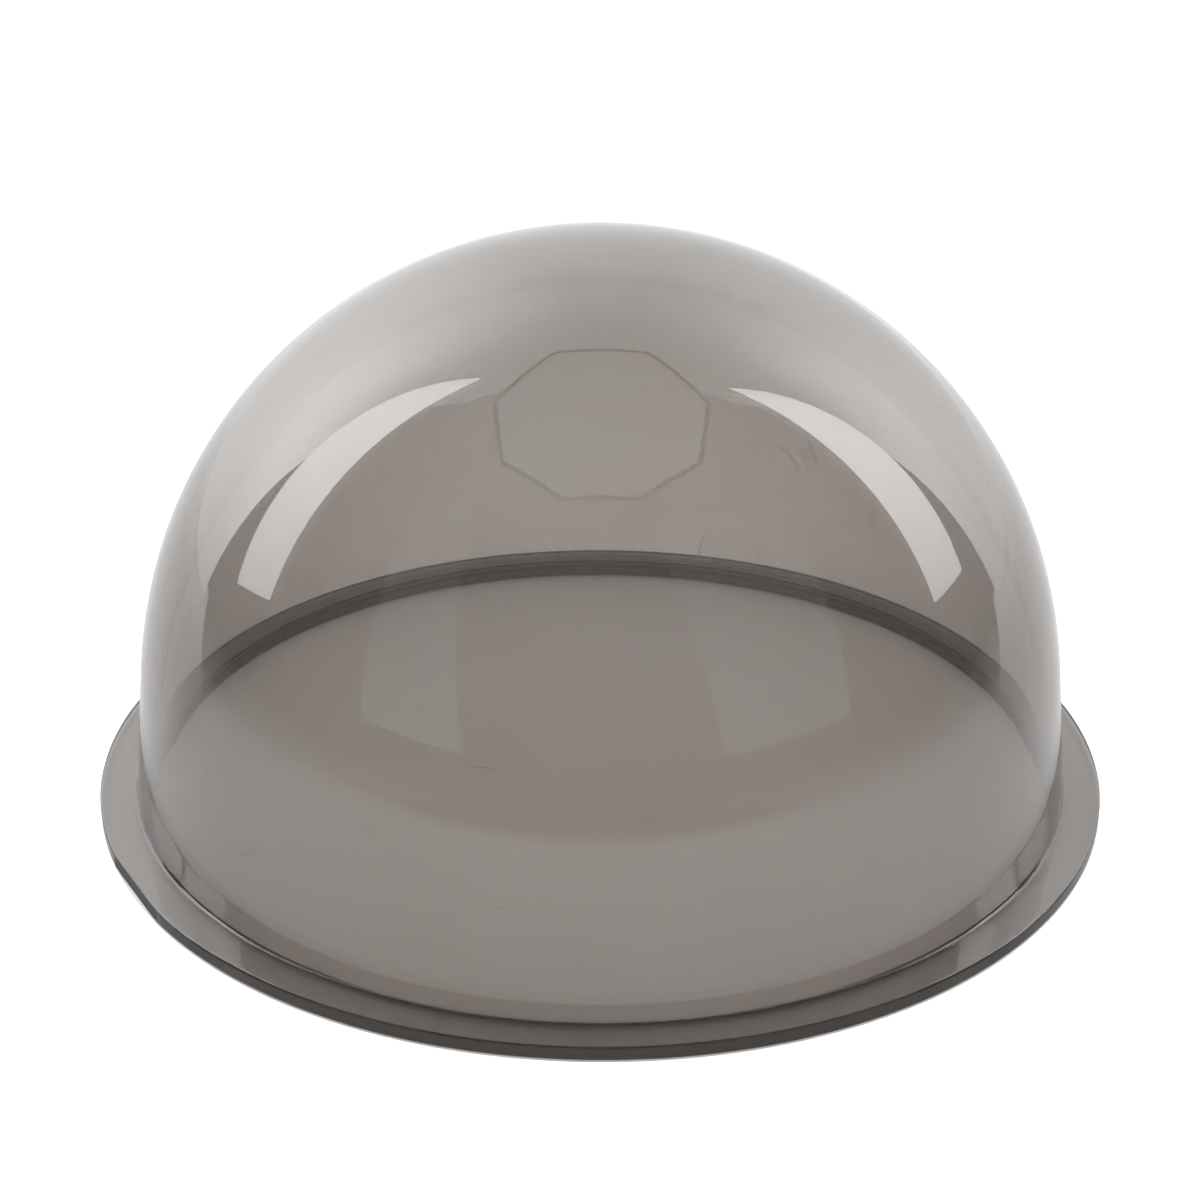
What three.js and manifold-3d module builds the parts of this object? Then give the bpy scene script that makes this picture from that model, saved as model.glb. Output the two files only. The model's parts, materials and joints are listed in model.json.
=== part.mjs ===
// Smoked dome cover for a dome security camera.
// One injection-moulded piece: a half-round dome on a short drafted skirt, with a flat clamping
// flange all round its mouth. Millimetres, +Z up. The flange's underside lies on z = 0 and the
// dome's axis is the Z axis.

import * as THREE from "three";
import { mergeVertices } from "three/addons/utils/BufferGeometryUtils.js";
import Module from "manifold-3d";

// ---- driving dimensions ----
const flangeDiameter = 160;
const flangeThickness = 2.2;
const domeRadius = 72.5; // outside of the half-round dome
const domeCentreHeight = 15.5; // centre of the dome above the flange's underside
const wallThickness = 2.2;
const skirtDraft = THREE.MathUtils.degToRad(5.7); // lean of the skirt, wider towards the flange
const footFillet = 0.6; // outside corner where the skirt meets the flange
const gateFlatWidth = 18; // flat left on the rim where the moulding gate was trimmed off
const gateFlatDirection = THREE.MathUtils.degToRad(-150); // from +X, anticlockwise seen from above

// ---- how finely the round shapes are divided ----
const sidesAround = 72;
const domeSteps = 16;
const filletSteps = 3;

// ---- worked out from the driving dimensions ----
const flangeRadius = flangeDiameter / 2;
const innerDomeRadius = domeRadius - wallThickness;

// The skirt is a cone that continues the dome without a crease: both have the same slope at the
// height where the dome leans by the draft angle.
function skirtTopHeight(radius) {
  return domeCentreHeight + radius * Math.sin(skirtDraft);
}

function skirtRadiusAt(height, radius) {
  const drop = skirtTopHeight(radius) - height;
  return radius * Math.cos(skirtDraft) + drop * Math.tan(skirtDraft);
}

// Points of the dome's profile from the pole down to the top of the skirt.
function domeArc(radius) {
  const points = [];
  for (let step = 0; step <= domeSteps; step++) {
    const lean = Math.PI / 2 + (skirtDraft - Math.PI / 2) * (step / domeSteps);
    const onAxis = step === 0;
    points.push(
      new THREE.Vector2(
        onAxis ? 0 : radius * Math.cos(lean),
        domeCentreHeight + radius * Math.sin(lean),
      ),
    );
  }
  return points;
}

// The hollow corner between the skirt and the flange's top: an arc that touches both.
function footArc() {
  const centreHeight = flangeThickness + footFillet;
  const wallAtCentre = skirtRadiusAt(centreHeight, domeRadius);
  const centreRadius = wallAtCentre + footFillet / Math.cos(skirtDraft);
  const points = [];
  for (let step = 0; step <= filletSteps; step++) {
    const turn = Math.PI + skirtDraft + (Math.PI / 2 - skirtDraft) * (step / filletSteps);
    points.push(
      new THREE.Vector2(
        centreRadius + footFillet * Math.cos(turn),
        centreHeight + footFillet * Math.sin(turn),
      ),
    );
  }
  return points;
}

// Half of the cover's cross-section, from the outer pole, down the outside, across the flange
// and back up the inside to the inner pole.
function coverProfile() {
  return [
    ...domeArc(domeRadius),
    ...footArc(),
    new THREE.Vector2(flangeRadius, flangeThickness),
    new THREE.Vector2(flangeRadius, 0),
    new THREE.Vector2(skirtRadiusAt(0, innerDomeRadius), 0),
    ...domeArc(innerDomeRadius).reverse(),
  ];
}

// three.js revolves about Y, so the result is stood up to make Z the axis. The lathe's own order
// runs from the lower end of a profile, so the profile is handed over reversed.
function revolved(profile) {
  const geometry = new THREE.LatheGeometry([...profile].reverse(), sidesAround);
  geometry.rotateX(Math.PI / 2);
  return geometry;
}

// A block that stands just outside the rim flat, to be cut away from the flange.
function gateCutter() {
  const halfWidth = gateFlatWidth / 2;
  const flatDistance = Math.sqrt(flangeRadius ** 2 - halfWidth ** 2);
  const depth = flangeRadius - flatDistance + 5;
  const block = new THREE.BoxGeometry(depth, gateFlatWidth * 2, flangeThickness * 4);
  block.translate(flatDistance + depth / 2, 0, 0);
  block.rotateZ(gateFlatDirection);
  return block;
}

const wasm = await Module();
wasm.setup();

function toSolid(geometry) {
  geometry.deleteAttribute("normal");
  geometry.deleteAttribute("uv");
  const merged = mergeVertices(geometry, 1e-4);
  return new wasm.Manifold(
    new wasm.Mesh({
      numProp: 3,
      vertProperties: new Float32Array(merged.attributes.position.array),
      triVerts: new Uint32Array(merged.index.array),
    }),
  );
}

function toGeometry(solid) {
  const mesh = solid.getMesh();
  const geometry = new THREE.BufferGeometry();
  geometry.setAttribute("position", new THREE.BufferAttribute(mesh.vertProperties, 3));
  geometry.setIndex(new THREE.BufferAttribute(mesh.triVerts, 1));
  geometry.computeVertexNormals();
  return geometry;
}

// ---- the one piece ----
const smokedPolycarbonate = new THREE.MeshStandardMaterial({
  color: 0x8f857e,
  roughness: 0.05,
  metalness: 0,
  transparent: true,
  opacity: 0.5,
});

const wholeCover = toSolid(revolved(coverProfile()));
const trimmedCover = wholeCover.subtract(toSolid(gateCutter()));
const domeCover = new THREE.Mesh(toGeometry(trimmedCover), smokedPolycarbonate);
domeCover.name = "dome_cover";

const part = new THREE.Group();
part.name = "smoked_dome_cover";
part.add(domeCover);

export default part;
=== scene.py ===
# %% [markdown]
# # Smoked dome cover, built around its CAD frame
#
# The object is the clear cover of a dome security camera: one injection-moulded shell of
# smoke-tinted polycarbonate. It has a half-round dome, a short skirt that leans out a little so
# the shell leaves its mould, and a flat flange that the camera's trim ring clamps down. Nothing on
# it moves, so the whole lesson is about one good wall: an exact shape, a real thickness, and a
# tint that lives inside the plastic and not on its surface.
#
# The CAD model is loaded first. It fixes the size and the place of everything that follows.

import json
import math

import bpy
from mathutils import Matrix, Vector


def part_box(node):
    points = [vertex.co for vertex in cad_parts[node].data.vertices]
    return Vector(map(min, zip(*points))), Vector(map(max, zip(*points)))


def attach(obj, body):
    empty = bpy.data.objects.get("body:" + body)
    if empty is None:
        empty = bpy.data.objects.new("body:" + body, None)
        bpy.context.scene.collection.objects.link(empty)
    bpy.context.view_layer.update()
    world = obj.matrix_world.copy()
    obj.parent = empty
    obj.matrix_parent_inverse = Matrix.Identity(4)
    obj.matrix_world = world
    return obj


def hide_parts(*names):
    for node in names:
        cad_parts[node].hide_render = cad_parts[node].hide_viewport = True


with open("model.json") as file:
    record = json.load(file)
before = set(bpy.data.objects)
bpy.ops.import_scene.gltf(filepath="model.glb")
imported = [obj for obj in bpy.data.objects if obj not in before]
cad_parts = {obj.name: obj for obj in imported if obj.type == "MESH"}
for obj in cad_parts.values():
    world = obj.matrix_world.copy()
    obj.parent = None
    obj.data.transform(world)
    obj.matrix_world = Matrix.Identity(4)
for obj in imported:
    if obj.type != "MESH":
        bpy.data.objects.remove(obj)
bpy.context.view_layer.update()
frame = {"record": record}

# %% [markdown]
# ## Sizes
#
# Blender works in metres and a moulder in millimetres, so one short function stands between the
# two. What the frame can tell is read from it: the flange's width and the cover's height are its
# box, and the flange's thickness is the height of its upper mounting face. The rest are the
# mould's own sizes. The dome's radius follows from the height, because the top of the cover is the
# top of a sphere whose centre lies a little above the mouth.

# %% Sizes of the cover


def mm(value):
    return value / 1000


node_low, node_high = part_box("dome_cover")
mounts = {mount["name"]: mount for mount in frame["record"]["mounts"]}

flange_radius = (node_high[0] - node_low[0]) / 2
cover_height = node_high[2]
flange_thickness = mounts["flange_top"]["pos_m"][2]

wall = mm(2.2)
dome_centre_height = mm(15.5)
outer_radius = cover_height - dome_centre_height
inner_radius = outer_radius - wall
skirt_draft = math.radians(5.7)

foot_fillet = mm(0.6)
rim_rounding = mm(0.3)
mouth_rounding = mm(0.25)

gate_flat_width = mm(18)
gate_flat_direction = math.radians(-150)
gate_flat_distance = math.sqrt(flange_radius**2 - (gate_flat_width / 2) ** 2)

for label, value in (
    ("flange radius", flange_radius),
    ("cover height", cover_height),
    ("flange thickness", flange_thickness),
    ("dome radius, outside", outer_radius),
    ("dome radius, inside", inner_radius),
    ("axis to the gate flat", gate_flat_distance),
):
    print(f"{label}: {1000 * value:.2f} mm")

# %% [markdown]
# ## The half-section
#
# A turned or moulded round part is drawn as half of its cross-section, as on a workshop drawing.
# The line starts on the axis outside the dome, comes down the outside, goes round the flange and
# climbs back up the inside. The dome is a true arc down to the height where it leans by the draft
# angle, and from there the skirt goes on as a straight cone, so there is no crease between them.
#
# Corners are drawn sharp here, and each one carries the radius that it is to be rounded to as an
# attribute. Two extra points stand close to each corner. They keep the smooth shading of the
# rounded edge from creeping across the flat faces beside it.

# %% Draw the half-section
dome_steps = 72
support_reach = 2.0  # times the rounding; on the rim this must end inside the gate flat


def skirt_radius(height, radius):
    """Radius of the skirt's cone at a height, for the outside or the inside of the wall."""
    cone_top = dome_centre_height + radius * math.sin(skirt_draft)
    return radius * math.cos(skirt_draft) + (cone_top - height) * math.tan(skirt_draft)


def dome_arc(radius):
    """Points of the dome from the pole down to the top of the skirt."""
    points = []
    for step in range(dome_steps + 1):
        lean = math.pi / 2 + (skirt_draft - math.pi / 2) * step / dome_steps
        reach = 0.0 if step == 0 else radius * math.cos(lean)
        points.append((reach, dome_centre_height + radius * math.sin(lean)))
    return points


def with_supports(before, corner, after, rounding):
    """A corner with a point close to it on either side."""
    made = []
    for neighbour in (before, None, after):
        if neighbour is None:
            made.append((corner, rounding))
            continue
        way = Vector(neighbour) - Vector(corner)
        beside = Vector(corner) + way.normalized() * support_reach * rounding
        made.append((tuple(beside), 0.0))
    return made


corners = [
    ((skirt_radius(flange_thickness, outer_radius), flange_thickness), foot_fillet),
    ((flange_radius, flange_thickness), rim_rounding),
    ((flange_radius, 0.0), rim_rounding),
    ((skirt_radius(0.0, inner_radius), 0.0), mouth_rounding),
]
outside = dome_arc(outer_radius)
inside = dome_arc(inner_radius)[::-1]
stops = [outside[-1], *[corner for corner, _ in corners], inside[0]]

section = [(point, 0.0) for point in outside]
for index, (corner, rounding) in enumerate(corners):
    section += with_supports(stops[index], corner, stops[index + 2], rounding)
section += [(point, 0.0) for point in inside]

section_mesh = bpy.data.meshes.new("half_section")
section_mesh.from_pydata(
    [(reach, 0.0, height) for (reach, height), _ in section],
    [(index, index + 1) for index in range(len(section) - 1)],
    [],
)
rounding_values = section_mesh.attributes.new("rounding", "FLOAT", "POINT")
rounding_values.data.foreach_set("value", [rounding for _, rounding in section])
dome_cover = bpy.data.objects.new("smoked_dome_cover", section_mesh)
bpy.context.scene.collection.objects.link(dome_cover)
print("points in the half-section:", len(section))

# %% [markdown]
# ## Nodes by the handful
#
# Both the shape and the finish are built from nodes. One small function adds a node, sets it and
# joins it up: a value that is itself an output socket is linked, and anything else is typed in.

# %% A helper that adds a node


def add_node(tree, kind, settings=None, inputs=None):
    node = tree.nodes.new(kind)
    for name, value in (settings or {}).items():
        setattr(node, name, value)
    for key, value in (inputs or {}).items():
        socket = node.inputs[key]
        if isinstance(value, bpy.types.NodeSocket):
            tree.links.new(value, socket)
        else:
            socket.default_value = value
    return node


# %% [markdown]
# ## Turning the section into a shell
#
# The rule of the shape is one revolution about the axis, with one exception: on the rim there is
# a short flat where the moulding gate was trimmed off. A Spin or a Screw modifier would make the
# revolution but not the flat, and a boolean would leave ragged triangles round it. So a Geometry
# Nodes tree lays a grid out round the axis, reads each point's reach and height from the rounded
# section, and holds the reach back wherever it would pass the plane of the flat.
#
# The grid's two ends meet at the seam, and its first and last rows shrink to the two poles. A
# merge by distance closes them.

# %% Build the revolving tree
tree = bpy.data.node_groups.new("revolve_cover", "GeometryNodeTree")
for name, kind, way in (
    ("Half Section", "NodeSocketGeometry", "INPUT"),
    ("Sides Around", "NodeSocketInt", "INPUT"),
    ("Rounding Steps", "NodeSocketInt", "INPUT"),
    ("Gate Flat Distance", "NodeSocketFloat", "INPUT"),
    ("Gate Flat Direction", "NodeSocketFloat", "INPUT"),
    ("Merge Distance", "NodeSocketFloat", "INPUT"),
    ("Finish", "NodeSocketMaterial", "INPUT"),
    ("Cover", "NodeSocketGeometry", "OUTPUT"),
):
    tree.interface.new_socket(name=name, in_out=way, socket_type=kind)

sizes = tree.nodes.new("NodeGroupInput").outputs

rounding = add_node(
    tree,
    "GeometryNodeInputNamedAttribute",
    {"data_type": "FLOAT"},
    {"Name": "rounding"},
)
drawn = add_node(tree, "GeometryNodeMeshToCurve", {}, {"Mesh": sizes["Half Section"]})
rounded = add_node(
    tree,
    "GeometryNodeFilletCurve",
    {"mode": "POLY"},
    {
        "Curve": drawn.outputs["Curve"],
        "Count": sizes["Rounding Steps"],
        "Radius": rounding.outputs["Attribute"],
    },
)
count = add_node(
    tree,
    "GeometryNodeAttributeDomainSize",
    {"component": "CURVE"},
    {"Geometry": rounded.outputs["Curve"]},
).outputs["Point Count"]

rows = add_node(
    tree,
    "FunctionNodeIntegerMath",
    {"operation": "ADD"},
    {0: sizes["Sides Around"], 1: 1},
)
grid = add_node(
    tree,
    "GeometryNodeMeshGrid",
    {},
    {"Vertices X": rows.outputs[0], "Vertices Y": count},
)
number = add_node(tree, "GeometryNodeInputIndex").outputs["Index"]
along = add_node(
    tree, "FunctionNodeIntegerMath", {"operation": "MODULO"}, {0: number, 1: count}
)
around = add_node(
    tree,
    "FunctionNodeIntegerMath",
    {"operation": "DIVIDE_FLOOR"},
    {0: number, 1: count},
)

place = add_node(tree, "GeometryNodeInputPosition").outputs["Position"]
sampled = add_node(
    tree,
    "GeometryNodeSampleIndex",
    {"data_type": "FLOAT_VECTOR", "domain": "POINT"},
    {
        "Geometry": rounded.outputs["Curve"],
        "Value": place,
        "Index": along.outputs[0],
    },
)
reach, _, height = add_node(
    tree, "ShaderNodeSeparateXYZ", {}, {0: sampled.outputs["Value"]}
).outputs

share = add_node(
    tree,
    "ShaderNodeMath",
    {"operation": "DIVIDE"},
    {0: around.outputs[0], 1: sizes["Sides Around"]},
)
turn = add_node(
    tree,
    "ShaderNodeMath",
    {"operation": "MULTIPLY"},
    {0: share.outputs[0], 1: math.tau},
)
off_gate = add_node(
    tree,
    "ShaderNodeMath",
    {"operation": "SUBTRACT"},
    {0: turn.outputs[0], 1: sizes["Gate Flat Direction"]},
)
toward_gate = add_node(
    tree, "ShaderNodeMath", {"operation": "COSINE"}, {0: off_gate.outputs[0]}
)
# away from the gate the cosine is held at a small value, which puts the limit far outside
facing = add_node(
    tree, "ShaderNodeMath", {"operation": "MAXIMUM"}, {0: toward_gate.outputs[0], 1: 0.01}
)
limit = add_node(
    tree,
    "ShaderNodeMath",
    {"operation": "DIVIDE"},
    {0: sizes["Gate Flat Distance"], 1: facing.outputs[0]},
)
held = add_node(
    tree, "ShaderNodeMath", {"operation": "MINIMUM"}, {0: reach, 1: limit.outputs[0]}
)

parts = []
for operation in ("COSINE", "SINE"):
    ratio = add_node(
        tree, "ShaderNodeMath", {"operation": operation}, {0: turn.outputs[0]}
    )
    parts.append(
        add_node(
            tree,
            "ShaderNodeMath",
            {"operation": "MULTIPLY"},
            {0: held.outputs[0], 1: ratio.outputs[0]},
        ).outputs[0]
    )
point = add_node(
    tree, "ShaderNodeCombineXYZ", {}, {"X": parts[0], "Y": parts[1], "Z": height}
)

revolved = add_node(
    tree,
    "GeometryNodeSetPosition",
    {},
    {"Geometry": grid.outputs["Mesh"], "Position": point.outputs["Vector"]},
)
closed = add_node(
    tree,
    "GeometryNodeMergeByDistance",
    {},
    {"Geometry": revolved.outputs["Geometry"], "Distance": sizes["Merge Distance"]},
)
facing_out = add_node(
    tree, "GeometryNodeFlipFaces", {}, {"Mesh": closed.outputs["Geometry"]}
)
smooth = add_node(
    tree,
    "GeometryNodeSetShadeSmooth",
    {},
    {"Geometry": facing_out.outputs["Mesh"], "Shade Smooth": True},
)
real = add_node(
    tree,
    "GeometryNodeRealizeInstances",
    {},
    {"Geometry": smooth.outputs["Geometry"]},
)
finished = add_node(
    tree,
    "GeometryNodeSetMaterial",
    {},
    {"Geometry": real.outputs["Geometry"], "Material": sizes["Finish"]},
)
add_node(
    tree,
    "NodeGroupOutput",
    {},
    {"Cover": finished.outputs["Geometry"]},
)
print("nodes in the tree:", len(tree.nodes))

# %% [markdown]
# ## The plastic
#
# The real material is polycarbonate with a smoke-brown dye mixed through it, injection moulded in
# a polished steel mould. Three things give it its look.
#
# - The dye darkens light by the length of its way through the wall. So the tint is a Volume
#   Absorption inside the shell, and the silhouette, the foot of the skirt and the edge of the
#   flange come out darker by themselves. Painting the colour on the surface could not do that.
# - The surface is glossy and clear. Polycarbonate's index of refraction is 1.585, higher than
#   acrylic or crown glass, and a polished mould leaves it almost mirror smooth.
# - It is soft for a clear plastic, so handling leaves hairline scratches, faint wiping smears and
#   specks of dust. Those are the only things that vary over the surface.
#
# Colours are written as sRGB hex and turned to linear light by one function.

# %% Colours and the absorption of the dye


def linear(hex_colour):
    """An sRGB colour such as #8F857E as linear red, green, blue and alpha."""
    values = []
    for start in (1, 3, 5):
        channel = int(hex_colour[start : start + 2], 16) / 255
        low = channel <= 0.04045
        values.append(channel / 12.92 if low else ((channel + 0.055) / 1.055) ** 2.4)
    return (*values, 1.0)


polycarbonate_ior = 1.585
dye_density = 500.0  # per metre, for the darkest channel that the colour below could have
dye_colour = "#8F8379"

finish = bpy.data.materials.new("smoke_tinted_polycarbonate_injection_moulded")
finish.use_nodes = True
shader = finish.node_tree
shader.nodes.clear()

for colour, name in zip(linear(dye_colour), ("red", "green", "blue")):
    kept = math.exp(-dye_density * (1 - colour) * wall)
    print(f"light left after one wall, {name}: {kept:.3f}")

# %% [markdown]
# ### Hairlines, smears and dust
#
# A hairline scratch is a thin, slightly wandering line. The level line of a smooth noise is just
# that, so each set of scratches is the narrow band where a noise passes through its middle value.
# A second, larger noise decides where the band shows, which breaks it into short strokes. Real
# hairlines are about 0.05 mm wide. They are drawn 0.2 mm wide here, so they show at all.
#
# Dust is one speck in some of the cells of a Voronoi pattern. Smears are a soft noise stretched
# along the way that a cloth goes. All of it is laid out in Object coordinates, in metres.

# %% Pattern nodes
coordinates = add_node(shader, "ShaderNodeTexCoord").outputs["Object"]

scratch_spacing = mm(26)
scratch_patch_size = mm(14)
dust_spacing = mm(5)
dust_missing = 0.86  # share of the cells that hold no speck
smear_size = mm(40)

scratch_field = add_node(
    shader,
    "ShaderNodeTexNoise",
    {"noise_dimensions": "3D"},
    {
        "Vector": coordinates,
        "Scale": 1 / scratch_spacing,
        "Detail": 1.5,
        "Roughness": 0.55,
        "Distortion": 0.6,
    },
)
off_middle = add_node(
    shader,
    "ShaderNodeMath",
    {"operation": "SUBTRACT"},
    {0: scratch_field.outputs["Fac"], 1: 0.5},
)
distance_off = add_node(
    shader, "ShaderNodeMath", {"operation": "ABSOLUTE"}, {0: off_middle.outputs[0]}
)
scratch_line = add_node(
    shader,
    "ShaderNodeMapRange",
    {"interpolation_type": "SMOOTHSTEP"},
    {
        "Value": distance_off.outputs[0],
        "From Min": 0.001,
        "From Max": 0.005,
        "To Min": 1.0,
        "To Max": 0.0,
    },
)
scratch_patch = add_node(
    shader,
    "ShaderNodeTexNoise",
    {"noise_dimensions": "3D"},
    {"Vector": coordinates, "Scale": 1 / scratch_patch_size, "Detail": 2.0},
)
scratch_mask = add_node(
    shader,
    "ShaderNodeMapRange",
    {"interpolation_type": "SMOOTHSTEP"},
    {
        "Value": scratch_patch.outputs["Fac"],
        "From Min": 0.62,
        "From Max": 0.70,
    },
)
scratches = add_node(
    shader,
    "ShaderNodeMath",
    {"operation": "MULTIPLY"},
    {0: scratch_line.outputs["Result"], 1: scratch_mask.outputs["Result"]},
)

dust_cells = add_node(
    shader,
    "ShaderNodeTexVoronoi",
    {"feature": "F1"},
    {"Vector": coordinates, "Scale": 1 / dust_spacing},
)
dust_size = add_node(
    shader,
    "ShaderNodeMapRange",
    {"interpolation_type": "SMOOTHSTEP"},
    {
        "Value": dust_cells.outputs["Distance"],
        "From Min": 0.02,
        "From Max": 0.045,
        "To Min": 1.0,
        "To Max": 0.0,
    },
)
dust_pick = add_node(
    shader, "ShaderNodeSeparateColor", {}, {"Color": dust_cells.outputs["Color"]}
)
dust_kept = add_node(
    shader,
    "ShaderNodeMath",
    {"operation": "GREATER_THAN"},
    {0: dust_pick.outputs["Red"], 1: dust_missing},
)
dust = add_node(
    shader,
    "ShaderNodeMath",
    {"operation": "MULTIPLY"},
    {0: dust_size.outputs["Result"], 1: dust_kept.outputs[0]},
)

smear_way = add_node(
    shader,
    "ShaderNodeMapping",
    {"vector_type": "POINT"},
    {"Vector": coordinates, "Rotation": (0.3, 0.2, 0.6), "Scale": (1.0, 3.0, 1.0)},
)
smears = add_node(
    shader,
    "ShaderNodeTexNoise",
    {"noise_dimensions": "3D"},
    {
        "Vector": smear_way.outputs["Vector"],
        "Scale": 1 / smear_size,
        "Detail": 3.0,
        "Roughness": 0.5,
    },
)

# %% [markdown]
# ### The cut face at the gate
#
# The rest of the cover comes straight off polished steel, but the flat on the rim was sheared or
# sawn. Its face is matt, and its colour is painted dark as shade, since a matt face throws no
# clear reflection of the table. The face is found by where it lies: as far out as the plane of the
# flat, in the direction of the gate.

# %% Find the cut face
cut_roughness = 0.45
cut_tolerance = mm(0.02)

way_to_gate = (math.cos(gate_flat_direction), math.sin(gate_flat_direction), 0.0)
out_to_gate = add_node(
    shader,
    "ShaderNodeVectorMath",
    {"operation": "DOT_PRODUCT"},
    {0: coordinates, 1: way_to_gate},
)
gate_cut = add_node(
    shader,
    "ShaderNodeMath",
    {"operation": "GREATER_THAN"},
    {0: out_to_gate.outputs["Value"], 1: gate_flat_distance - cut_tolerance},
)

# %% [markdown]
# ### The surface
#
# The patterns feed three sockets. Scratches and dust stop a little light, so they tint the base
# colour, and they are rougher than the mould's polish. Smears only just dull it. The cut face at
# the gate is matt, and its colour is darkened as painted shade. A very weak bump gives the slow,
# soft ripple that a moulded wall shows beside a true optical surface.

# %% Surface nodes
mould_polish = 0.004
smeared_polish = 0.02
marks_roughness = 0.15
ripple_spacing = mm(18)
ripple_depth = mm(0.015)

marks = add_node(
    shader,
    "ShaderNodeMath",
    {"operation": "MAXIMUM"},
    {0: scratches.outputs[0], 1: dust.outputs[0]},
)
dye_clouds = add_node(
    shader,
    "ShaderNodeTexNoise",
    {"noise_dimensions": "3D"},
    {"Vector": coordinates, "Scale": 1 / mm(35), "Detail": 2.0},
)
body_colour = add_node(
    shader,
    "ShaderNodeMix",
    {"data_type": "RGBA"},
    {
        "Factor": dye_clouds.outputs["Fac"],
        "A": linear("#FAF8F6"),
        "B": linear("#FFFFFF"),
    },
)
marked_colour = add_node(
    shader,
    "ShaderNodeMix",
    {"data_type": "RGBA"},
    {
        "Factor": marks.outputs[0],
        "A": body_colour.outputs["Result"],
        "B": linear("#E2DEDA"),
    },
)
# painted shade: the cut face's colour is darkened for the reflection that it does not throw
cut_face_painted_shade = add_node(
    shader,
    "ShaderNodeMix",
    {"data_type": "RGBA"},
    {
        "Factor": gate_cut.outputs[0],
        "A": marked_colour.outputs["Result"],
        "B": linear("#6E6862"),
    },
)
polish = add_node(
    shader,
    "ShaderNodeMapRange",
    {},
    {
        "Value": smears.outputs["Fac"],
        "From Min": 0.35,
        "From Max": 0.75,
        "To Min": mould_polish,
        "To Max": smeared_polish,
    },
)
roughness = add_node(
    shader,
    "ShaderNodeMath",
    {"operation": "MULTIPLY_ADD"},
    {0: marks.outputs[0], 1: marks_roughness, 2: polish.outputs["Result"]},
)
roughness_with_cut = add_node(
    shader,
    "ShaderNodeMath",
    {"operation": "MULTIPLY_ADD"},
    {0: gate_cut.outputs[0], 1: cut_roughness, 2: roughness.outputs[0]},
)
ripple = add_node(
    shader,
    "ShaderNodeTexNoise",
    {"noise_dimensions": "3D"},
    {"Vector": coordinates, "Scale": 1 / ripple_spacing, "Detail": 1.0},
)
relief = add_node(
    shader,
    "ShaderNodeBump",
    {},
    {"Height": ripple.outputs["Fac"], "Strength": 0.05, "Distance": ripple_depth},
)
surface = add_node(
    shader,
    "ShaderNodeBsdfPrincipled",
    {},
    {
        "Base Color": cut_face_painted_shade.outputs["Result"],
        "Roughness": roughness_with_cut.outputs[0],
        "IOR": polycarbonate_ior,
        "Transmission Weight": 1.0,
        "Normal": relief.outputs["Normal"],
    },
)
dye = add_node(
    shader,
    "ShaderNodeVolumeAbsorption",
    {},
    {"Color": linear(dye_colour), "Density": dye_density},
)
add_node(
    shader,
    "ShaderNodeOutputMaterial",
    {},
    {"Surface": surface.outputs["BSDF"], "Volume": dye.outputs["Volume"]},
)
print("nodes in the finish:", len(shader.nodes))

# %% [markdown]
# ## Making the mesh real
#
# A modifier's inputs are set by their identifiers before the object is first evaluated. The
# evaluated result then becomes a plain mesh, and the modifier and its section are left behind.
# The volume of the closed mesh is printed. It speaks to three things at once: no holes, walls of
# the right thickness, and faces that point outwards.

# %% Run the tree and keep its mesh
modifier = dome_cover.modifiers.new("revolve", "NODES")
modifier.node_group = tree
settings = {
    "Sides Around": 288,
    "Rounding Steps": 6,
    "Gate Flat Distance": gate_flat_distance,
    "Gate Flat Direction": gate_flat_direction,
    "Merge Distance": mm(0.002),
    "Finish": finish,
}
for item in tree.interface.items_tree:
    if item.item_type == "SOCKET" and item.name in settings:
        modifier[item.identifier] = settings[item.name]

evaluated = dome_cover.evaluated_get(bpy.context.evaluated_depsgraph_get())
cover_mesh = bpy.data.meshes.new_from_object(evaluated)
cover_mesh.name = "smoked_dome_cover"
dome_cover.modifiers.remove(modifier)
dome_cover.data = cover_mesh
bpy.data.meshes.remove(section_mesh)


def shell_volume(mesh):
    """Signed volume of a closed mesh in cubic metres; positive when its faces point outwards."""
    mesh.calc_loop_triangles()
    total = 0.0
    for triangle in mesh.loop_triangles:
        a, b, c = (mesh.vertices[index].co for index in triangle.vertices)
        total += a.dot(b.cross(c)) / 6
    return total


print(f"volume: {1e6 * shell_volume(cover_mesh):.2f} cm3")
print("triangles:", len(cover_mesh.loop_triangles))

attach(dome_cover, "root")
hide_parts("dome_cover")

# %% [markdown]
# ## The studio
#
# A clear dark shell has hardly any look of its own. It shows what stands behind it and what its
# polish mirrors. So the studio is a white table, a bright backdrop, two tall strip softboxes
# beside the cover, an eight-sided softbox overhead, two windows in front and a dim room.

# %% Helpers for the stage


def empty_material(name):
    """A material with no nodes yet, and its node tree."""
    material = bpy.data.materials.new(name)
    material.use_nodes = True
    material.node_tree.nodes.clear()
    return material, material.node_tree


def object_xyz(tree):
    """The X, Y and Z outputs of a stage piece's own coordinates, in metres."""
    place = add_node(tree, "ShaderNodeTexCoord").outputs["Object"]
    return add_node(tree, "ShaderNodeSeparateXYZ", {}, {0: place}).outputs


def give_light(tree, strength):
    """Finishes a tree that only gives white light; strength is a number or a socket."""
    light = add_node(
        tree, "ShaderNodeEmission", {}, {"Color": linear("#FFFFFF"), "Strength": strength}
    )
    add_node(tree, "ShaderNodeOutputMaterial", {}, {"Surface": light.outputs["Emission"]})


def panel(name, points, material):
    """A flat panel with the given outline."""
    mesh = bpy.data.meshes.new(name)
    mesh.from_pydata(points, [], [tuple(range(len(points)))])
    mesh.materials.append(material)
    made = bpy.data.objects.new(name, mesh)
    bpy.context.scene.collection.objects.link(made)
    return made


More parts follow.
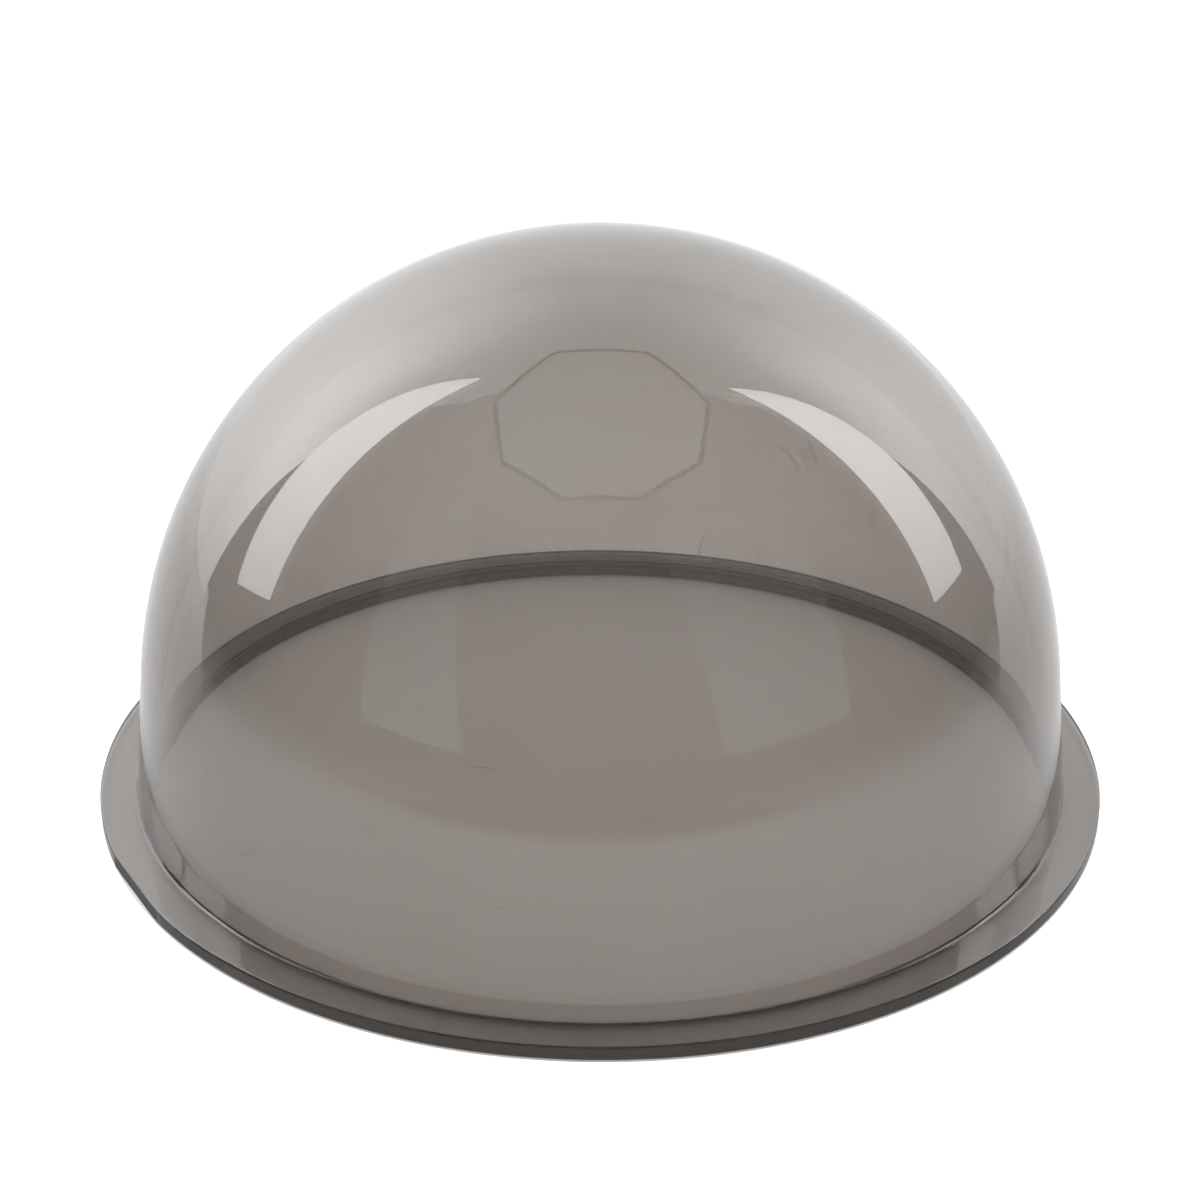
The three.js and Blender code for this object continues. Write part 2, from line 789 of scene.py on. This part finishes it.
def bend(start, pull, end, steps=12):
    """Points of a curved edge from start to end, drawn towards pull."""
    made = []
    for step in range(steps + 1):
        t = step / steps
        made.append(
            (1 - t) ** 2 * Vector(start) + 2 * t * (1 - t) * Vector(pull) + t**2 * Vector(end)
        )
    return made


# %% [markdown]
# ### The room's light
#
# It comes from the world. The camera sees a plain pale wall, a little darker than the table, so
# that a highlight on the cover's outline still stands out from it. What is seen through the
# plastic is lit by a white tent, brighter behind the cover than in front of it, and the light that
# falls on the table leans even more that way. A ray mirrored by the plastic sees a dim room
# instead, as it would past the softboxes of a real studio.
#
# This is a stage trick and not physics: one room gives different light to the table, to what
# lies behind the plastic and to what its polish mirrors. It is what lets the reflections be set
# without changing the rest.

# %% World
surround_strength = 0.78
tent_behind = 2.9
tent_in_front = 1.05
table_light_behind = 3.7
table_light_in_front = 0.3
room_at_table = 0.2
room_overhead = 0.7

world = bpy.data.worlds.new("studio")
bpy.context.scene.world = world
world.use_nodes = True
sky = world.node_tree
sky.nodes.clear()


def mirrored(tree):
    """1 for a ray that left a polished surface, and 0 for one that left a matt surface."""
    path = add_node(tree, "ShaderNodeLightPath")
    return add_node(
        tree,
        "ShaderNodeMath",
        {"operation": "SUBTRACT", "use_clamp": True},
        {0: path.outputs["Is Reflection Ray"], 1: path.outputs["Is Diffuse Ray"]},
    ).outputs[0]


way_out = add_node(
    sky,
    "ShaderNodeSeparateXYZ",
    {},
    {0: add_node(sky, "ShaderNodeTexCoord").outputs["Generated"]},
)
just_in_front, just_behind = -1.0, 1.0
tent = add_node(
    sky,
    "ShaderNodeMapRange",
    {},
    {
        "Value": way_out.outputs["Y"],
        "From Min": just_in_front,
        "From Max": just_behind,
        "To Min": tent_in_front,
        "To Max": tent_behind,
    },
)
falling = add_node(
    sky,
    "ShaderNodeMapRange",
    {},
    {
        "Value": way_out.outputs["Y"],
        "From Min": just_in_front,
        "From Max": just_behind,
        "To Min": table_light_in_front,
        "To Max": table_light_behind,
    },
)
after_matt = add_node(
    sky,
    "ShaderNodeMath",
    {"operation": "GREATER_THAN"},
    {0: add_node(sky, "ShaderNodeLightPath").outputs["Diffuse Depth"], 1: 0.5},
)
through = add_node(
    sky,
    "ShaderNodeMix",
    {"data_type": "FLOAT"},
    {0: after_matt.outputs[0], 2: tent.outputs["Result"], 3: falling.outputs["Result"]},
)
room = add_node(
    sky,
    "ShaderNodeMapRange",
    {},
    {
        "Value": way_out.outputs["Z"],
        "To Min": room_at_table,
        "To Max": room_overhead,
    },
)
lit = add_node(
    sky,
    "ShaderNodeMix",
    {"data_type": "FLOAT"},
    {0: mirrored(sky), 2: through.outputs["Result"], 3: room.outputs["Result"]},
)
shown = add_node(
    sky,
    "ShaderNodeMix",
    {"data_type": "FLOAT"},
    {
        0: add_node(sky, "ShaderNodeLightPath").outputs["Is Camera Ray"],
        2: lit.outputs["Result"],
        3: surround_strength,
    },
)
glow_all_round = add_node(
    sky,
    "ShaderNodeBackground",
    {},
    {"Color": linear("#FFFFFF"), "Strength": shown.outputs["Result"]},
)
add_node(sky, "ShaderNodeOutputWorld", {}, {"Surface": glow_all_round.outputs[0]})
print("nodes in the room's light:", len(sky.nodes))

# %% [markdown]
# ### The table
#
# To the eye the table is matt white paper. In the plastic's mirror it has a painted glow of its
# own
# outside the cover: fading with distance, with painted shade close to the rim and a painted shadow
# of the camera and its stand in front, and brighter in a wedge that lies before the backdrop. Seen
# by the camera itself the paper round the cover is lit up as well, as on a light table.

# %% A helper for strengths that follow a curve


def ramp(tree, value, low, high, stops):
    """A strength read off a curve: stops are (place, strength) pairs between low and high."""
    tallest = max(strength for _, strength in stops)
    share = add_node(
        tree,
        "ShaderNodeMapRange",
        {},
        {"Value": value, "From Min": low, "From Max": high},
    )
    curve = add_node(tree, "ShaderNodeValToRGB", {}, {0: share.outputs["Result"]})
    knots = curve.color_ramp.elements
    while len(knots) < len(stops):
        knots.new(0.5)
    for knot, (place, strength) in zip(knots, stops):
        knot.position = (place - low) / (high - low)
        knot.color = (*[strength / tallest] * 3, 1.0)
    return add_node(
        tree,
        "ShaderNodeMath",
        {"operation": "MULTIPLY"},
        {0: curve.outputs["Color"], 1: tallest},
    ).outputs[0]


# %% Table
table_white = 0.86
# painted shade: the paper under the cover is given a darker colour than the white outside it
paper_under_cover_painted_shade = 0.79  # the same paper, dulled a little by standing in the shade
table_gap = mm(0.2)  # a moulded flange never lies perfectly flat, and air stays under it
table_half = 4.0
light_table_strength = 0.6

mirror_starts = 0.08  # metres from the axis, just at the rim
wedge_ends = 0.6
mirror_ends = 1.2
wedge_apex = -0.094  # where the wedge's edges meet, in front of the axis
wedge_slope = 0.49  # how far an edge runs back for each metre sideways

stand_front, stand_back = -0.28, -0.18
stand_inner, stand_outer = 0.1, 0.3
stand_shade = 0.25

table_paint, paint = empty_material("matt_white_table")
table_x, table_y, _ = object_xyz(paint)
sideways = add_node(paint, "ShaderNodeMath", {"operation": "ABSOLUTE"}, {0: table_x})
off_axis = add_node(
    paint,
    "ShaderNodeVectorMath",
    {"operation": "LENGTH"},
    {0: add_node(paint, "ShaderNodeTexCoord").outputs["Object"]},
)
# the part before the backdrop is a wedge that opens away from the camera
wedge_edge = add_node(
    paint,
    "ShaderNodeMath",
    {"operation": "MULTIPLY_ADD"},
    {0: sideways.outputs[0], 1: wedge_slope, 2: wedge_apex},
)
in_wedge = add_node(
    paint,
    "ShaderNodeMath",
    {"operation": "GREATER_THAN"},
    {0: table_y, 1: wedge_edge.outputs[0]},
)
wedge_glow = ramp(
    paint,
    off_axis.outputs["Value"],
    mirror_starts,
    wedge_ends,
    [(0.08, 0.5), (0.1, 0.8), (0.13, 0.95), (0.16, 1.05), (0.3, 1.15), (0.6, 1.45)],
)
wedge = add_node(
    paint,
    "ShaderNodeMath",
    {"operation": "MULTIPLY"},
    {0: in_wedge.outputs[0], 1: wedge_glow},
)
# round the cover the table's painted glow fades with distance, and beside the rim it has painted
# shade
round_cover = ramp(
    paint,
    off_axis.outputs["Value"],
    mirror_starts,
    mirror_ends,
    [(0.08, 0.6), (0.088, 0.95), (0.115, 1.05), (0.2, 1.05), (0.33, 0.5), (0.6, 0.38), (1.2, 0.2)],
)
# a painted shadow where the camera and its stand would shade the table in front
behind_stand = add_node(
    paint,
    "ShaderNodeMapRange",
    {"interpolation_type": "SMOOTHSTEP"},
    {
        "Value": table_y,
        "From Min": stand_front,
        "From Max": stand_back,
        "To Min": stand_shade,
        "To Max": 1.0,
    },
)
beside_stand = add_node(
    paint,
    "ShaderNodeMapRange",
    {"interpolation_type": "SMOOTHSTEP"},
    {"Value": sideways.outputs[0], "From Min": stand_inner, "From Max": stand_outer},
)
clear_of_stand = add_node(
    paint,
    "ShaderNodeMath",
    {"operation": "MAXIMUM"},
    {0: behind_stand.outputs["Result"], 1: beside_stand.outputs["Result"]},
)
table_glow = add_node(
    paint,
    "ShaderNodeMath",
    {"operation": "MULTIPLY"},
    {0: round_cover, 1: clear_of_stand.outputs[0]},
)
mirrored_strength = add_node(
    paint,
    "ShaderNodeMath",
    {"operation": "MAXIMUM"},
    {0: table_glow.outputs[0], 1: wedge.outputs[0]},
)
beyond_rim = add_node(
    paint,
    "ShaderNodeMath",
    {"operation": "GREATER_THAN"},
    {0: off_axis.outputs["Value"], 1: flange_radius},
)
# painted shade: the paper's colour is darker inside the rim than beyond it
paper = add_node(
    paint,
    "ShaderNodeMapRange",
    {},
    {"Value": beyond_rim.outputs[0], "To Min": paper_under_cover_painted_shade, "To Max": table_white},
)
matt = add_node(paint, "ShaderNodeBsdfDiffuse", {}, {"Color": paper.outputs["Result"]})
seen = add_node(
    paint, "ShaderNodeEmission", {}, {"Strength": mirrored_strength.outputs[0]}
)
# under the cover the table is always plain paper, even in the plastic's own mirror
outside_cover = add_node(
    paint,
    "ShaderNodeMath",
    {"operation": "GREATER_THAN"},
    {0: off_axis.outputs["Value"], 1: skirt_radius(0.0, outer_radius)},
)
feigned = add_node(
    paint,
    "ShaderNodeMath",
    {"operation": "MULTIPLY"},
    {0: mirrored(paint), 1: outside_cover.outputs[0]},
)
either = add_node(
    paint,
    "ShaderNodeMixShader",
    {},
    {0: feigned.outputs[0], 1: matt.outputs[0], 2: seen.outputs[0]},
)
# seen by the camera itself, the paper round the cover is lit up as on a light table
seen_round_cover = add_node(
    paint,
    "ShaderNodeMath",
    {"operation": "MULTIPLY"},
    {
        0: add_node(paint, "ShaderNodeLightPath").outputs["Is Camera Ray"],
        1: beyond_rim.outputs[0],
    },
)
light_table = add_node(
    paint,
    "ShaderNodeMath",
    {"operation": "MULTIPLY"},
    {0: seen_round_cover.outputs[0], 1: light_table_strength},
)
lit_up = add_node(paint, "ShaderNodeEmission", {}, {"Strength": light_table.outputs[0]})
both = add_node(
    paint, "ShaderNodeAddShader", {}, {0: either.outputs[0], 1: lit_up.outputs[0]}
)
add_node(paint, "ShaderNodeOutputMaterial", {}, {"Surface": both.outputs[0]})
print("nodes in the table's paint:", len(paint.nodes))

panel(
    "table",
    [
        (-table_half, -table_half, -table_gap),
        (table_half, -table_half, -table_gap),
        (table_half, table_half, -table_gap),
        (-table_half, table_half, -table_gap),
    ],
    table_paint,
)

# %% [markdown]
# ### Backdrop and softboxes
#
# These are seen only in the plastic. The backdrop makes the pale zone over the crown, the strips
# make the two curved bands at the sides, and the octagon and the windows make the faint shapes
# over the middle. Their outlines and strengths were found by trial, until the reflections lay in
# the right places.

# %% Backdrop
backdrop_distance = 0.6
backdrop_half_width = 1.26
backdrop_top = 2.6
backdrop_base = 1.05  # its strength at the foot and far overhead

backdrop_light, cloth = empty_material("backdrop_cloth")
cloth_x, _, cloth_z = object_xyz(cloth)
across = ramp(
    cloth,
    cloth_x,
    -backdrop_half_width,
    backdrop_half_width,
    [(-0.85, 4.4), (-0.65, 4.2), (-0.1, 1.85), (0.1, 1.67), (0.3, 2.05), (0.7, 3.4)],
)
upward = ramp(
    cloth,
    cloth_z,
    0.0,
    backdrop_top,
    [(0.0, 0.25), (0.15, 0.45), (0.45, 0.92), (0.6, 1.0), (0.8, 0.95), (1.2, 0.45), (1.7, 0.15)],
)
over_base = add_node(
    cloth, "ShaderNodeMath", {"operation": "SUBTRACT"}, {0: across, 1: backdrop_base}
)
cloth_strength = add_node(
    cloth,
    "ShaderNodeMath",
    {"operation": "MULTIPLY_ADD"},
    {0: over_base.outputs[0], 1: upward, 2: backdrop_base},
)
give_light(cloth, cloth_strength.outputs[0])


def for_reflections_only(made):
    """Keeps a studio light out of the camera's sight and off the table."""
    made.visible_camera = False
    made.visible_diffuse = False
    made.visible_shadow = False


for_reflections_only(
    panel(
        "backdrop",
        [
            (-backdrop_half_width, backdrop_distance, 0.0),
            (backdrop_half_width, backdrop_distance, 0.0),
            (backdrop_half_width, backdrop_distance, backdrop_top),
            (-backdrop_half_width, backdrop_distance, backdrop_top),
        ],
        backdrop_light,
    )
)

# %% Strip softboxes
strip_aside = 0.5  # how far each strip stands to the side of the axis
strip_foot, strip_top = 0.1, 1.3

strip_light, strip_nodes = empty_material("strip_softbox")
_, _, strip_z = object_xyz(strip_nodes)
strip_strength = ramp(
    strip_nodes,
    strip_z,
    strip_foot,
    strip_top,
    [(0.1, 3.2), (0.2, 4.3), (0.35, 5.6), (0.6, 6.2), (1.3, 5.8)],
)
give_light(strip_nodes, strip_strength)


def strip(name, side, outer, inner):
    """A strip softbox standing beside the cover; side is -1 for left and 1 for right."""
    back = bend(*[(side * strip_aside, y, z) for y, z in outer])
    front = bend(*[(side * strip_aside, y, z) for y, z in inner])
    for_reflections_only(panel(name, back + front[::-1][1:], strip_light))


strip(
    "left_strip",
    -1,
    [(0.103, 0.108), (0.279, 0.366), (0.399, 1.239)],
    [(-0.006, 0.150), (0.170, 0.700), (0.399, 1.239)],
)
strip(
    "right_strip",
    1,
    [(0.120, 0.124), (0.266, 0.365), (0.321, 1.146)],
    [(0.001, 0.145), (0.121, 0.555), (0.321, 1.146)],
)

# %% Overhead octagon and front windows


def towards(azimuth, elevation, distance):
    """A point seen from the cover in a direction: 0 is +X, 90 is behind, -90 is in front."""
    turn, lift = math.radians(azimuth), math.radians(elevation)
    return (
        distance * math.cos(lift) * math.cos(turn),
        distance * math.cos(lift) * math.sin(turn),
        distance * math.sin(lift),
    )


def plain_light(name, strength):
    """A material of one even brightness."""
    material, tree = empty_material(name)
    give_light(tree, strength)
    return material


octagon_height = 1.2
for name, spread, lift, strength in (
    ("octagon_frame", 22.4, 0.01, 0.1),
    ("octagon_softbox", 21.2, 0.0, 1.15),
):
    reach_out = octagon_height * math.tan(math.radians(spread))
    outline = [
        (
            reach_out * math.cos(math.tau * (side + 0.5) / 8),
            reach_out * math.sin(math.tau * (side + 0.5) / 8),
            octagon_height + lift,
        )
        for side in range(8)
    ]
    for_reflections_only(panel(name, outline, plain_light(name, strength)))

window_distance = 1.5
window_strength = 0.85
for name, directions in (
    ("window_left", [(-121, 8), (-147, 8), (-163, 50), (-149, 60)]),
    ("window_right", [(-62, 8), (-30, 8), (-18, 50), (-68, 62)]),
):
    outline = [towards(turn, lift, window_distance) for turn, lift in directions]
    for_reflections_only(panel(name, outline, plain_light(name, window_strength)))

# %% [markdown]
# ## Camera
#
# The camera looks down at the cover at about 26 degrees from 400 mm away, close enough for the
# flange to swell towards it. There is no depth of field and no shift.

# %% Camera
look_down = math.radians(25.99)
camera_roll = math.radians(0.18)
camera_yaw = math.radians(0.02)
camera_place = (0.0, -0.3471, 0.19879)
light_bounces = 24  # a ray crosses the wall many times before it gets out

camera_data = bpy.data.cameras.new("camera")
camera_data.lens = 73.44
camera_data.sensor_width = 36.0
camera_data.clip_start = 0.01
camera_data.clip_end = 50
camera = bpy.data.objects.new("camera", camera_data)
camera.location = camera_place
# the roll is about the camera's own line of sight, so it is applied before the tilt
camera.rotation_euler = (
    Matrix.Rotation(camera_yaw, 3, "Z")
    @ Matrix.Rotation(math.pi / 2 - look_down, 3, "X")
    @ Matrix.Rotation(camera_roll, 3, "Z")
).to_euler()
bpy.context.scene.collection.objects.link(camera)
bpy.context.scene.camera = camera

bpy.context.scene.view_settings.view_transform = "Standard"
bpy.context.scene.cycles.max_bounces = light_bounces
bpy.context.scene.cycles.transmission_bounces = light_bounces
bpy.context.scene.cycles.blur_glossy = 0.0
